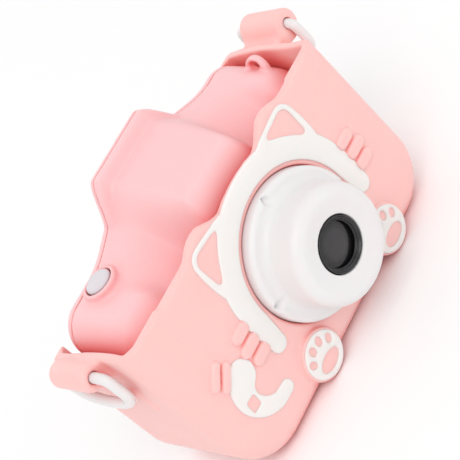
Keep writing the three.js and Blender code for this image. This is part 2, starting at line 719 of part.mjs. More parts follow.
const band = inlay(bandShape(), 0);
const tail = inlay(tailShape(), 0);
const pawLeft = inlay(pawShape(-1), PAW.proud);
const pawRight = inlay(pawShape(1), PAW.proud);
const pockets = [band, tail, pawLeft, pawRight].map((part) => part.pocket);

add('silicone_case', siliconeCase(pockets), PINK_SILICONE);
add('head_band_inlay', band.piece, WHITE_SILICONE);
add('tail_inlay', tail.piece, WHITE_SILICONE);
add('paw_inlay_left', pawLeft.piece, WHITE_SILICONE);
add('paw_inlay_right', pawRight.piece, WHITE_SILICONE);
add('strap_ring_left', strapRing(-1), WHITE_PLASTIC);
add('strap_ring_right', strapRing(1), WHITE_PLASTIC);

add('front_shell', frontShell(), PINK_PLASTIC);
add('rear_cover', rearCover(), PINK_PLASTIC);
screwPlaces.forEach(([x, z], i) => {
  const head = BODY.back - 1.4;
  const screw = [[0, BODY.seam - 8.5], [1.2, BODY.seam - 8.5], [1.2, head], [2.2, head],
    [2.2, head + 1.1], [1.9, head + 1.3], [0, head + 1.3]];
  add(`cover_screw_${i + 1}`, turned(screw, x, z, 12), STEEL);
});

add('lens_bezel', lensBezel(), WHITE_PLASTIC);
add('lens_hood', lensHood(), BLACK_PLASTIC);
add('lens_window', disc(6.5, LENS.x, LENS.z, -11.7, -10.5, 32), GLASS);
add('front_camera_module', frontCameraModule(), BLACK_PLASTIC);

const shutterY = FACE + SHUTTER.depth;
add('shutter_button', shutterButton(), GREY_PLASTIC);
add('shutter_switch', box(6, 6, 1.2, SHUTTER.x, shutterY, 49.9), BLACK_PLASTIC);
add('shutter_board', box(11, 8, 0.9, SHUTTER.x, shutterY, 48.5), BOARD);

// A plate behind the screen's opening, wider and taller than the opening by the two margins.
function behindScreen(wider, taller, from, to) {
  return plate(SCREEN.width + wider, SCREEN.height + taller, SCREEN.x, SCREEN.z, from, to);
}
add('display_panel', behindScreen(4, 3, 30, 32.4), BLACK_PLASTIC);
add('screen_window', behindScreen(6, 6, BODY.back - 1.2, BODY.back - 0.1), GLASS);

for (const [name, place] of Object.entries(keyPlaces())) {
  add(name, rearKey(place), name === 'key_ok' ? PINK_PLASTIC : WHITE_PLASTIC);
  const switchName = name.replace('key', 'dome_switch');
  add(switchName, disc(2.4, place[0], place[1], 28.5, 29.4, 12), STEEL);
}
// The membrane and the board behind the keys share one outline.
const behindKeys = (from, to) => plate(20, 29, KEY.x + 0.3, KEY.z + 3.8, from, to);
add('keypad_membrane', behindKeys(29.7, 30.4), WHITE_SILICONE);
add('key_board', behindKeys(27.2, 28.3), BOARD);

const selfieGlass = disc(3.8, SELFIE.x, SELFIE.z, BODY.back - 0.95, BODY.back - 0.1);
add('rear_camera_window', selfieGlass, GLASS);
add('rear_camera_module', plate(7, 7, SELFIE.x, SELFIE.z - 0.6, 27.5, 32.3), BLACK_PLASTIC);

add('main_board', plate(68, 36, 0, 28, 20, 21.2), BOARD);
add('battery', plate(24, 28, 24.6, 25, 12.8, 19.2), CELL);
add('speaker', disc(SPEAKER.radius, SPEAKER.x, SPEAKER.z, 28, 32.2, 20), BLACK_PLASTIC);
add('microphone', disc(2.2, MICROPHONE.x, MICROPHONE.z, 5.4, 7.4, 12), BLACK_PLASTIC);
const usbBody = plate(8.6, 6.4, PORTS.x - 7, 8.5, PORTS.depth - 1.6, PORTS.depth + 1.6);
const cardBody = plate(14, 14, PORTS.x + 7.6, 12.4, PORTS.depth - 1, PORTS.depth + 1);
add('usb_socket', usbBody, STEEL);
add('card_socket', cardBody, STEEL);

export default camera;
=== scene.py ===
# Looks of the kids digital camera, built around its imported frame. Metres, +Z up, lens along -Y.

import json
import math

import bpy
import numpy as np
from mathutils import Matrix, Vector


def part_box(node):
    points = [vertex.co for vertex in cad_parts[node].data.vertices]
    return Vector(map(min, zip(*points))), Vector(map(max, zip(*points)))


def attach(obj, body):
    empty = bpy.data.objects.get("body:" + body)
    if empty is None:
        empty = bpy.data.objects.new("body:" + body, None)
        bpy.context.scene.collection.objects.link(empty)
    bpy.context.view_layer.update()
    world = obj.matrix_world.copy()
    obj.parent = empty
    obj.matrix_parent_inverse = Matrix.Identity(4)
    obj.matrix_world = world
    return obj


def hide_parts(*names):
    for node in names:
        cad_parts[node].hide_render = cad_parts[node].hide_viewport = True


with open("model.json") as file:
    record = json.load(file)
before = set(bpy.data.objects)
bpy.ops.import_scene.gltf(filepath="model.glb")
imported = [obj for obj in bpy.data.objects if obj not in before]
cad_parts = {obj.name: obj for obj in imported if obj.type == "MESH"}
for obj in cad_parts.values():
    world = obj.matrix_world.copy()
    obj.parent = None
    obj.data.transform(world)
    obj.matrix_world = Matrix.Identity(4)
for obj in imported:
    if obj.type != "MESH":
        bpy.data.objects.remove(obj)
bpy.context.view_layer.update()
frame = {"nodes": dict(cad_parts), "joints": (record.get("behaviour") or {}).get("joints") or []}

MM = 0.001

# ---- where the CAD pieces are, in millimetres ---------------------------------------------


def box_mm(node):
    low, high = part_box(node)
    return np.array(low) / MM, np.array(high) / MM


def joint(name):
    return next(item for item in frame["joints"] if item["name"] == name)


CASE_LOW, CASE_HIGH = box_mm("silicone_case")
BODY_LOW, BODY_HIGH = box_mm("front_shell")
COVER_LOW, COVER_HIGH = box_mm("rear_cover")
BEZEL_LOW, BEZEL_HIGH = box_mm("lens_bezel")
BUTTON_LOW, BUTTON_HIGH = box_mm("shutter_button")

REAR = CASE_HIGH[1]
FACE = -REAR                       # front of the case's panel, and depths are counted from it
LENS_X = (BEZEL_LOW[0] + BEZEL_HIGH[0]) / 2
LENS_Z = (BEZEL_LOW[2] + BEZEL_HIGH[2]) / 2
LENS_FRONT = BEZEL_LOW[1]
BODY_X = (COVER_LOW[0] + COVER_HIGH[0]) / 2
BODY_HALF = (COVER_HIGH[0] - COVER_LOW[0]) / 2
BODY_BOTTOM = COVER_LOW[2]
BODY_BACK = COVER_HIGH[1]
SEAM = (BODY_HIGH[1] + COVER_LOW[1]) / 2
BUTTON_X = (BUTTON_LOW[0] + BUTTON_HIGH[0]) / 2
BUTTON_Y = (BUTTON_LOW[1] + BUTTON_HIGH[1]) / 2
PORTS_X = 20
PORTS_DEPTH = 25

# ---- fields -------------------------------------------------------------------------------
# A field holds a signed distance in millimetres on a grid: less than zero is inside.


class Grid:
    def __init__(self, low, high, cell):
        self.cell = cell
        self.low = np.array(low, float) - 2 * cell
        counts = np.ceil((np.array(high) - self.low) / cell).astype(int) + 3
        axes = [self.low[i] + cell * np.arange(counts[i]) for i in range(3)]
        self.x = axes[0][:, None, None].astype(np.float32)
        self.y = axes[1][None, :, None].astype(np.float32)
        self.z = axes[2][None, None, :].astype(np.float32)


def both(a, b, radius):
    inner = np.minimum(np.maximum(a, b), -radius)
    return inner + np.hypot(np.maximum(a + radius, 0), np.maximum(b + radius, 0))


def less(a, b, radius):
    return both(a, -b, radius)


def either(a, b, radius=0.0):
    """What is in either, with a fillet of the radius where they meet."""
    if radius == 0:
        return np.minimum(a, b)
    outer = np.maximum(np.minimum(a, b), radius)
    return outer - np.hypot(np.maximum(radius - a, 0), np.maximum(radius - b, 0))


def slab(low, high, axis):
    middle, half = (low + high) / 2, (high - low) / 2
    return np.abs(axis - middle) - half


def polygon(points, u, v):
    """Distance to a closed outline in the plane of two axes."""
    points = np.asarray(points, float)
    best = np.full(np.broadcast(u, v).shape, 1e9, np.float32)
    inside = np.zeros(best.shape, bool)
    for (ax, ay), (bx, by) in zip(points, np.roll(points, -1, axis=0)):
        ex, ey = bx - ax, by - ay
        length = ex * ex + ey * ey
        if length == 0:
            continue
        wx, wy = u - ax, v - ay
        t = np.clip((wx * ex + wy * ey) / length, 0, 1)
        best = np.minimum(best, (wx - ex * t) ** 2 + (wy - ey * t) ** 2)
        if ay != by:
            crosses = (ay > v) != (by > v)
            inside ^= crosses & (u < ex * (v - ay) / ey + ax)
    distance = np.sqrt(best)
    return np.where(inside, -distance, distance)


def circle(radius, u, v, cu=0.0, cv=0.0):
    return np.hypot(u - cu, v - cv) - radius


def segment(ax, ay, bx, by, radius, u, v):
    """A stroke with round ends."""
    ex, ey = bx - ax, by - ay
    t = np.clip(((u - ax) * ex + (v - ay) * ey) / (ex * ex + ey * ey), 0, 1)
    return np.hypot(u - ax - ex * t, v - ay - ey * t) - radius


def rounded_box(half_u, half_v, radius, u, v):
    du, dv = np.abs(u) - half_u + radius, np.abs(v) - half_v + radius
    outside = np.hypot(np.maximum(du, 0), np.maximum(dv, 0))
    return outside + np.minimum(np.maximum(du, dv), 0) - radius


CORNERS = [(i, j, k) for i in (0, 1) for j in (0, 1) for k in (0, 1)]
EDGES = [
    (a, b)
    for a in range(8)
    for b in range(a + 1, 8)
    if sum(abs(CORNERS[a][n] - CORNERS[b][n]) for n in range(3)) == 1
]


def skin(grid, field):
    """The surface where a field crosses zero, as points and quads."""
    field = np.broadcast_to(field, (grid.x.size, grid.y.size, grid.z.size))
    sign = field < 0
    count = np.zeros([n - 1 for n in field.shape], np.int8)
    for i, j, k in CORNERS:
        count += sign[i : i + count.shape[0], j : j + count.shape[1], k : k + count.shape[2]]
    cells = np.argwhere((count > 0) & (count < 8))
    values = [field[tuple((cells + corner).T)] for corner in CORNERS]
    total = np.zeros((len(cells), 3))
    hits = np.zeros(len(cells))
    for a, b in EDGES:
        crossing = (values[a] < 0) != (values[b] < 0)
        part = values[a][crossing] / (values[a][crossing] - values[b][crossing])
        start, end = np.array(CORNERS[a], float), np.array(CORNERS[b], float)
        total[crossing] += start + part[:, None] * (end - start)
        hits[crossing] += 1
    points = grid.low + grid.cell * (cells + total / hits[:, None])
    number = np.full(count.shape, -1, np.int32)
    number[tuple(cells.T)] = np.arange(len(cells))
    quads = []
    for axis in range(3):
        first, second = (axis + 1) % 3, (axis + 2) % 3
        ahead = np.take(sign, range(1, sign.shape[axis]), axis)
        here = np.take(sign, range(0, sign.shape[axis] - 1), axis)
        places = np.argwhere(here != ahead)
        inside_first = here[tuple(places.T)]
        ring = []
        for du, dv in ((1, 1), (0, 1), (0, 0), (1, 0)):
            corner = places.copy()
            corner[:, first] -= du
            corner[:, second] -= dv
            ring.append(number[tuple(corner.T)])
        faces = np.stack(ring, axis=1)
        faces[~inside_first] = faces[~inside_first][:, ::-1]
        quads.append(faces)
    return points, np.concatenate(quads)


def mesh_piece(name, points, faces):
    mesh = bpy.data.meshes.new(name)
    mesh.vertices.add(len(points))
    mesh.vertices.foreach_set("co", (np.asarray(points) * MM).astype(np.float32).ravel())
    mesh.loops.add(faces.size)
    mesh.loops.foreach_set("vertex_index", faces.astype(np.int32).ravel())
    mesh.polygons.add(len(faces))
    mesh.polygons.foreach_set("loop_start", np.arange(0, faces.size, 4, dtype=np.int32))
    mesh.update(calc_edges=True)
    mesh.validate()
    mesh.shade_smooth()
    piece = bpy.data.objects.new(name, mesh)
    bpy.context.scene.collection.objects.link(piece)
    return piece


def carve(name, grid, field, body, node, material):
    """A field's surface as a piece that rides on a body in place of a CAD node."""
    points, faces = skin(grid, field)
    piece = mesh_piece(name, points, faces)
    piece.data.materials.append(material)
    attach(piece, body)
    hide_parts(node)
    return piece


# ---- materials ----------------------------------------------------------------------------


class Nodes:
    """A material with a Principled shader, and short calls that add nodes before it."""

    def __init__(self, name, **sockets):
        self.material = bpy.data.materials.new(name)
        self.material.use_nodes = True
        self.tree = self.material.node_tree
        self.shader = self.tree.nodes["Principled BSDF"]
        for key, value in sockets.items():
            self.shader.inputs[key.replace("_", " ")].default_value = value

    def add(self, kind, **inputs):
        node = self.tree.nodes.new(kind)
        for key, value in inputs.items():
            self.put(node.inputs[key.replace("_", " ")], value)
        return node

    def put(self, socket, value):
        if isinstance(value, bpy.types.NodeSocket):
            self.tree.links.new(value, socket)
        else:
            socket.default_value = value

    def place(self):
        return self.add("ShaderNodeTexCoord").outputs["Object"]

    def noise(self, scale, detail=2.0, roughness=0.5):
        node = self.add("ShaderNodeTexNoise", Vector=self.place(), Scale=scale, Detail=detail,
                        Roughness=roughness)
        return node.outputs["Fac"]

    def ramp(self, value, *stops):
        node = self.add("ShaderNodeValToRGB", Fac=value)
        ramp = node.color_ramp
        while len(ramp.elements) < len(stops):
            ramp.elements.new(0.5)
        for element, (position, colour) in zip(ramp.elements, stops):
            element.position = position
            element.color = colour if len(colour) == 4 else (*colour, 1)
        return node.outputs["Color"]

    def spread(self, value, low, high, start=0.3, end=0.7):
        node = self.add("ShaderNodeMapRange", Value=value)
        ends = {"From Min": start, "From Max": end, "To Min": low, "To Max": high}
        for key, number in ends.items():
            node.inputs[key].default_value = number
        return node.outputs["Result"]

    def mix(self, amount, first, second):
        node = self.tree.nodes.new("ShaderNodeMix")
        node.data_type = "RGBA"
        self.put(node.inputs["Factor"], amount)
        self.put(node.inputs[6], first)
        self.put(node.inputs[7], second)
        return node.outputs[2]

    def bump(self, height, strength, distance, normal=None):
        node = self.add("ShaderNodeBump", Height=height, Strength=strength, Distance=distance)
        if normal is not None:
            self.put(node.inputs["Normal"], normal)
        return node.outputs["Normal"]

    def finish(self, colour=None, roughness=None, normal=None):
        for key, value in (("Base Color", colour), ("Roughness", roughness), ("Normal", normal)):
            if value is not None:
                self.put(self.shader.inputs[key], value)
        return self.material


def linear(code):
    """A linear colour from a six digit sRGB code."""
    parts = [int(code[i : i + 2], 16) / 255 for i in (0, 2, 4)]
    return tuple(p / 12.92 if p <= 0.04045 else ((p + 0.055) / 1.055) ** 2.4 for p in parts) + (1,)


def soft_material(name, colour, painted_shade, roughness, grain=2600, scatter=0.12, near=0.006,
                  clear=0.75):
    """Moulded silicone or satin plastic with faint colour drift and fine grain.

    The shade colour is painted shade: it fills hollows that are closed in within the near
    distance, in metres, and is gone where more than the clear share of the sky is open.
    """
    m = Nodes(name, Specular_IOR_Level=0.35, Subsurface_Weight=scatter, Subsurface_Scale=0.002,
              Sheen_Weight=0.08, Sheen_Roughness=0.4)
    m.shader.inputs["Subsurface Radius"].default_value = (1.0, 0.5, 0.45)
    drift = m.noise(38, 3.0)
    warm = tuple(c * f for c, f in zip(colour[:3], (1.0, 0.965, 0.96))) + (1,)
    tone = m.ramp(drift, (0.35, colour), (0.75, warm))
    # Painted shade: ambient occlusion mixes the darker shade colour into creases, grooves and
    # gaps.
    hollow = m.add("ShaderNodeAmbientOcclusion", Distance=near).outputs["AO"]
    shade = m.spread(hollow, 1.0, 0.0, 0.15, clear)
    tone = m.mix(shade, tone, painted_shade)
    fine = m.noise(grain, 2.0, 0.6)
    rough = m.spread(m.noise(420, 3.0), roughness - 0.05, roughness + 0.06)
    swell = m.bump(m.noise(55, 2.0), 0.12, 0.0006)
    return m.finish(tone, rough, m.bump(fine, 0.1, 0.00012, swell))


# Each base colour is followed by the colour of the shade painted into its hollows.
PINK = linear("FDC9C5")
PINK_PAINTED_SHADE = linear("F37F79")
BODY_PINK = linear("FDC9CB")
BODY_PAINTED_SHADE = linear("F07D7C")
WHITE = linear("F2EEEB")
WHITE_PAINTED_SHADE = linear("F0D6D2")
LENS_WHITE = linear("E9E8E8")
LENS_PAINTED_SHADE = linear("DAD8DA")
BUTTON_GREY = linear("DAD5DA")
BUTTON_PAINTED_SHADE = linear("BDB8BE")

silicone = soft_material("pink_silicone", PINK, PINK_PAINTED_SHADE, 0.52, scatter=0.3)
white_silicone = soft_material("white_silicone", WHITE, WHITE_PAINTED_SHADE, 0.5, scatter=0.25)
# The body plastic's painted shade reaches 12 mm and fades out only where nearly all the sky is
# open.
shell_plastic = soft_material("pink_plastic", BODY_PINK, BODY_PAINTED_SHADE, 0.42, 3800, scatter=0.2,
                              near=0.012, clear=0.98)
white_plastic = soft_material("white_plastic", LENS_WHITE, LENS_PAINTED_SHADE, 0.36, 4200, scatter=0.15)
grey_plastic = soft_material("grey_plastic", BUTTON_GREY, BUTTON_PAINTED_SHADE, 0.38, 4000, scatter=0.1)


def dark_plastic(name, light, dark, roughness):
    m = Nodes(name, Specular_IOR_Level=0.5, Coat_Weight=0.15, Coat_Roughness=0.2)
    tone = m.ramp(m.noise(300, 4.0), (0.3, dark), (0.7, light))
    rough = m.spread(m.noise(900, 3.0), roughness - 0.06, roughness + 0.08)
    return m.finish(tone, rough, m.bump(m.noise(3500, 2.0), 0.15, 0.0001))


black_plastic = dark_plastic("black_plastic", linear("232325"), linear("151516"), 0.34)
inner_plastic = dark_plastic("inner_plastic", linear("303034"), linear("1c1c1f"), 0.5)

# ---- outlines -----------------------------------------------------------------------------


def quadratic(start, control, end, count=14):
    t = np.linspace(0, 1, count + 1)[1:, None]
    start, control, end = (np.array(p, float) for p in (start, control, end))
    return (1 - t) ** 2 * start + 2 * t * (1 - t) * control + t**2 * end


def arc(centre, radius, begin, end, count=20):
    angle = np.linspace(begin, end, count + 1)
    return np.stack([centre[0] + radius * np.cos(angle), centre[1] + radius * np.sin(angle)], 1)


def through(points, count=8):
    """A smooth curve through the points."""
    p = np.array([points[0], *points, points[-1]], float)
    t = np.linspace(0, 1, count, endpoint=False)[:, None]
    parts = []
    for a, b, c, d in zip(p, p[1:], p[2:], p[3:]):
        parts.append(0.5 * (2 * b + (c - a) * t + (2 * a - 5 * b + 4 * c - d) * t**2
                            + (3 * b - a - 3 * c + d) * t**3))
    return np.concatenate([*parts, p[-1:]])


def bent(start, *turns):
    """An outline of quadratic curves, each given by its control and end point."""
    parts = [np.array([start], float)]
    for control, end in turns:
        parts.append(quadratic(parts[-1][-1], control, end))
    return np.concatenate(parts)


def from_lens(points):
    return np.asarray(points, float) + (LENS_X, LENS_Z)


def head_band(u, v):
    """The arch over the lens with two ears and two arms."""
    half = bent((27.3, -7.3), ((28.4, 5), (25.1, 12.6)), ((25.8, 17), (25.2, 22.6)),
                ((24.9, 27.3), (20.6, 27.3)), ((15, 27), (9.5, 25.9)), ((5, 27.3), (0, 27.3)))
    mirrored = half[::-1][1:] * (-1, 1)
    right_end = arc((24.6, -7.3), 2.7, math.pi, 2 * math.pi)
    left_end = arc((-24.6, -7.3), 2.7, math.pi, 2 * math.pi)
    inside = arc((0, 0), 21, math.pi, 0, 60)
    field = polygon(from_lens(np.concatenate([right_end, half, mirrored, left_end, inside])), u, v)
    ear = bent((15.4, 25.4), ((12.9, 25), (14.6, 23.6)), ((18.6, 20.6), (21.4, 16.9)),
               ((23.3, 14.8), (23.6, 17.6)), ((23.6, 20), (23.7, 22.6)),
               ((23.6, 25.8), (20.6, 25.8)))
    for side in (1, -1):
        field = np.maximum(field, -polygon(from_lens(ear * (side, 1)), u, v))
    return field


def tail(u, v):
    """A curled stroke, fat at its root and thin at its tip, with a small eye."""
    spine = through([(-37.6, -2.2), (-40.3, -4.8), (-41.2, -8.8), (-39.4, -13), (-36, -15.6),
                     (-31.9, -16.1)], 10)
    field = None
    for i, (px, pz) in enumerate(from_lens(spine)):
        t = i / (len(spine) - 1)
        dot = circle(2.1 + 2.4 * (1 - t) ** 1.6, u, v, px, pz)
        field = dot if field is None else np.minimum(field, dot)
    eye_corners = np.array([(-1.0, -1.1), (0.8, -1.2), (1.1, 1.0), (-0.7, 1.2)])
    eye = from_lens(eye_corners + (-40.9, -9.3))
    return np.maximum(field, 0.7 - polygon(eye, u, v))


PAW_OUT = 19.5
PAW_Z = 7.2
PAW_RADIUS = 6.5
PAW_FACE = FACE - 1.6

# Middle, half sizes and turn of each toe and the pad, from the middle of a paw.
TOES = [(-4.2, 1.5, 1, 1.35, 0.5), (-1.6, 3.7, 1.05, 1.4, 0.15), (1.6, 3.7, 1.05, 1.4, -0.15),
        (4.2, 1.5, 1, 1.35, -0.5), (0, -2.5, 3.8, 2.2, 0)]


def ellipse(u, v, a, b, turn):
    c, s = math.cos(turn), math.sin(turn)
    return (np.hypot((u * c + v * s) / a, (v * c - u * s) / b) - 1) * min(a, b)


def paw(side, u, v):
    du, dv = u - LENS_X - side * PAW_OUT, v - PAW_Z
    field = circle(PAW_RADIUS, du, dv)
    for x, z, a, b, turn in TOES:
        field = np.maximum(field, -ellipse(du - x, dv - z, a, b, turn))
    return field


INLAYS = {
    "head_band": ("head_band_inlay", head_band, FACE),
    "tail": ("tail_inlay", tail, FACE),
    "paw_left": ("paw_inlay_left", lambda u, v: paw(-1, u, v), PAW_FACE),
    "paw_right": ("paw_inlay_right", lambda u, v: paw(1, u, v), PAW_FACE),
}
INLAY_PROUD = 0.5
INLAY_SUNK = 0.6

# ---- the silicone case --------------------------------------------------------------------

CASE_HALF = 49.0
CASE_CORNER = 15
CASE_EDGE = 6
PANEL_TOP = 55.2
PANEL = 2.6
RIM_INNER = 35.0
WALL = 2.4
REAR_LIP = 2.0
LENS_HOLE = 19.8
TUBE_BORE = 1.5
FOLD_DEPTH = 13.5
FOLD_HEIGHTS = (34, 43)
BAR_PROUD = 1.2
BOSS_RADIUS = 7.1
SEAT_GAP = 0.6                     # how far a seat's edge lies inside its inlay's outline
GROOVE_DEPTH = 0.16

# Name, side, depth where the tube starts, depth where it ends, and radius.
TUBE_SIZES = (("left", -1, 14, 29, 3.7), ("right", 1, 16.5, 32.2, 4.2))
TUBES = {}
for side_name, side, start, end, radius in TUBE_SIZES:
    ring_low, ring_high = box_mm("strap_ring_" + side_name)
    place = joint(side_name + "_ring_swing")["pos_m"]
    TUBES[side_name] = {
        "side": side,
        "x": place[0] / MM,
        "z": place[2] / MM,
        "from": FACE + start,
        "to": FACE + end,
        "radius": radius,
        "ring_y": (ring_low[1] + ring_high[1]) / 2,
    }

# Raised bars beside the arms and the tail, as the two ends of each stroke from the lens.
ARM_BARS = [(28, 4.6, 31, 4.6), (28.4, 0.3, 32.2, 0.3), (28.2, -4, 31.4, -4)]
TAIL_BARS = [(-44.2, 3.4, -40.2, 6.4), (-42.6, 0.4, -38.4, 3.6)]
ARM_BAR_RADIUS = 1.85
TAIL_BAR_RADIUS = 1.4
BARS = [(bar, ARM_BAR_RADIUS) for bar in ARM_BARS]
BARS += [((-ax, az, -bx, bz), ARM_BAR_RADIUS) for ax, az, bx, bz in ARM_BARS]
BARS += [(bar, TAIL_BAR_RADIUS) for bar in TAIL_BARS]

# Depth and height along each side wall's rim.
RIMS = {
    -1: [(10, 55.8), (20, 55), (28, 53.4), (38.6, 52.4)],
    1: [(10, 54.6), (20, 55.3), (28, 55.1), (38.6, 53.8)],
}


def panel_profile():
    half = [(30, 55.2), (26.5, 55.2), (24.2, 55.6), (21.5, 56.8), (18.8, 57.4), (16, 57.1),
            (13.6, 55.7), (11.5, 54.4), (9, 53.6), (5.5, 54.2), (0, 54.5)]
    top = through([(LENS_X + x, z) for x, z in half]
                  + [(LENS_X - x, z) for x, z in half[::-1][1:]])
    return np.concatenate([[(80, -20), (80, PANEL_TOP)], top, [(-80, PANEL_TOP), (-80, -20)]])


def rim_profile(side):
    rim = through([(2.4, PANEL_TOP)] + RIMS[side])
    level = RIMS[side][-1][1]
    outline = [(-8, -20), (-8, PANEL_TOP), *rim, (60, level), (60, -20)]
    return np.array(outline) + (FACE, 0)


def strap_tube(body, tube, x, y, z):
    """The body with the roll that a strap ring hangs in and the web between it and the wall."""
    side = tube["side"]
    length = slab(tube["from"] + 0.6, tube["to"] - 0.6, y)
    height = slab(tube["z"] - 4.6, tube["z"] - 0.6, z)
    web = np.maximum(slab(0, tube["x"] * side, x * side), height)
    web = np.maximum(both(web, length, 1.0), CASE_HALF - WALL - x * side)
    body = either(body, web, 1.5)
    roll = circle(tube["radius"], x, z, tube["x"], tube["z"])
    return either(body, both(roll, slab(tube["from"], tube["to"], y), 1.4), 2.0)


def case_sleeve(x, y, z):
    """The sleeve with its tubes and side folds, hollow and open at the top and the rear."""
    side = np.abs(x) - CASE_HALF
    body = both(both(both(side, -z, CASE_CORNER), FACE - y, CASE_EDGE), y - REAR, WALL)
    panel = np.maximum(polygon(panel_profile(), x, z), y - FACE - 3)
    walls = np.where(x < 0, polygon(rim_profile(-1), y, z), polygon(rim_profile(1), y, z))
    walls = np.maximum(walls, RIM_INNER - np.abs(x))
    low = np.maximum(np.maximum(z - 40, FACE + 1 - y), np.abs(x) - 40)
    top = np.minimum(either(panel, walls, 1.5), low)
    body = both(body, top, 1.15)
    for tube in TUBES.values():
        body = strap_tube(body, tube, x, y, z)
    fold_y = FACE + FOLD_DEPTH
    fold = segment(FOLD_HEIGHTS[0], fold_y, FOLD_HEIGHTS[1], fold_y, 1.1, z, y)
    body = either(body, np.hypot(np.maximum(fold + 1.1, 0), side + 0.2) - 1.1, 0.7)
    outline = both(side + WALL, WALL - z, CASE_CORNER - WALL)
    cavity = both(both(outline, FACE + PANEL - y, 3), y - REAR + REAR_LIP, 3)
    body = less(body, cavity, 0.7)
    opening = rounded_box(39.95, 60, 8, x + 4.45, z - 68)
    body = less(body, np.maximum(opening, REAR - 6 - y), 0.8)
    for wall_side in (-1, 1):
        kept = np.minimum(both(y - REAR, z - RIMS[wall_side][-1][1], 3), y - REAR + 3)
        body = np.where(x * wall_side > 0, both(body, kept, 0.5), body)
    return body


def case_relief(body, x, y, z):
    """The sleeve with what is moulded into its panel, and the lens hole."""
    for paw_side in (-1, 1):
        boss = circle(BOSS_RADIUS, x, z, LENS_X + paw_side * PAW_OUT, PAW_Z)
        boss = both(boss, np.maximum(PAW_FACE - y, y - FACE - 2), 0.7)
        body = either(body, boss, 0.5)
    for (ax, az, bx, bz), radius in BARS:
        bar = segment(LENS_X + ax, LENS_Z + az, LENS_X + bx, LENS_Z + bz, radius, x, z)
        bar = both(bar, np.maximum(FACE - BAR_PROUD - y, y - FACE - 1.5), 0.9)
        body = either(body, bar, 0.2)
    lens_hole = np.maximum(circle(LENS_HOLE, x, z, LENS_X, LENS_Z), y - FACE - 6)
    body = less(body, lens_hole, 0.6)
    for _, shape, face in INLAYS.values():
        outline = shape(x, z)
        seat = np.maximum(outline + SEAT_GAP, y - face - INLAY_SUNK - 0.3)
        body = less(body, seat, 0.1)
        near_face = np.exp(-(((y - face) / 1.2) ** 2))
        groove = np.exp(-(((outline - 0.15) / 0.45) ** 2))
        body = body + GROOVE_DEPTH * near_face * groove
    return body


def make_case():
    g = Grid(CASE_LOW, CASE_HIGH, 0.38)
    x, y, z = g.x, g.y, g.z
    body = case_relief(case_sleeve(x, y, z), x, y, z)
    for tube in TUBES.values():
        bore = circle(TUBE_BORE, x, z, tube["x"], tube["z"])
        body = less(body, np.maximum(bore, slab(tube["from"] - 4, tube["to"] + 4, y)), 0.3)
    port = rounded_box(14, 3.5, 1.5, x - PORTS_X, y - FACE - PORTS_DEPTH)
    body = less(body, np.maximum(port, z - 6), 0.5)
    piece = carve("case_skin", g, body, "camera", "silicone_case", silicone)


def make_inlays():
    for name, (node, shape, face) in INLAYS.items():
        low, high = box_mm(node)
        g = Grid(low - 0.5, high + 0.5, 0.2)
        flat = shape(g.x, g.z)
        crown = 0.25 * np.clip(-flat / 2.2, 0, 1) ** 0.5 - 0.25
        thick = np.maximum(face - INLAY_PROUD - crown - g.y, g.y - face - INLAY_SUNK)
        piece = carve(name, g, both(flat, thick, 0.45), "camera", node, white_silicone)


# ---- the camera body ----------------------------------------------------------------------

LOWEST_TOP = 41.5
SEAM_GAP = 0.02
SHELL_WALL = 2
BUTTON_COLLAR = 5.1
BUTTON_HOLE = 4.05
SLEEVE_HOLE = 11
SCREW_SINK = 2.6
SCREW_HOLE = 1.5
SPEAKER_SLOT_HALF = 3.4
SELFIE_SEAT = 4.2
SELFIE_HOLE = 2.6
EYELET_X = 41.6
EYELET_DEPTH = 19.8
EYELET_Z = 52
EYELET_LEAN = 0.35


def smooth(low, high, value):
    t = np.clip((value - low) / (high - low), 0, 1)
    return t * t * (3 - 2 * t)


def top_height(x, depth):
    """Height of the body's top at a place and a depth behind the panel face.

    Two round shoulders dip towards the front, with a valley beside the hump in the middle,
    which rises to a raised band along the rear edge.
    """
    side = np.abs(x - LENS_X)
    front_drop = 12 * (1 - smooth(3, 20, depth)) ** 2
    lobe = 56.7 - 0.17 * (33 - depth) - front_drop
    foot = (3.5 + 2.5 * smooth(12, 30, depth)) * (1 - smooth(8, 32, side))
    valley = 10.5 * (1 - smooth(8, 26, depth)) * np.exp(-(((side - 21.5) / 8.5) ** 4))
    band = smooth(28.6, 30.8, depth)
    nose = 7 * (1 - smooth(3, 9, depth)) ** 2
    hump = 59.3 + 0.34 * (np.minimum(depth, 28.6) - 5) + 3.5 * band - nose
    low = lobe + foot - valley
    on_hump = 1 - smooth(0, 8.5, side - 9 - 1.5 * band)
    return np.maximum(low + (hump - low) * on_hump, LOWEST_TOP)


def body_field(g):
    height = top_height(g.x, g.y - FACE)
    slope_x, slope_y = np.gradient(height[:, :, 0], g.cell)
    steep = np.sqrt(1 + slope_x**2 + slope_y**2)[:, :, None]
    top = (g.z - height) / steep
    side = np.abs(g.x - BODY_X) - BODY_HALF
    outline = both(both(side, BODY_BOTTOM - g.z, 12.5), top, 8.5)
    return both(both(outline, BODY_LOW[1] - g.y, 3), g.y - BODY_BACK, 3)


def centre_mm(node):
    return np.array(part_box(node)).mean(0) / MM


SCREEN_X, _, SCREEN_Z = (float(n) for n in centre_mm("screen_window"))
SELFIE_X, _, SELFIE_Z = (float(n) for n in centre_mm("rear_camera_window"))
SPEAKER_X, _, SPEAKER_Z = (float(n) for n in centre_mm("speaker"))
KEYS = {name: centre_mm("key_" + name)
        for name in ("ok", "up", "down", "left", "right", "mode", "power")}
SCREWS = {name: centre_mm(name) for name in (f"cover_screw_{n}" for n in (1, 2, 3, 4))}


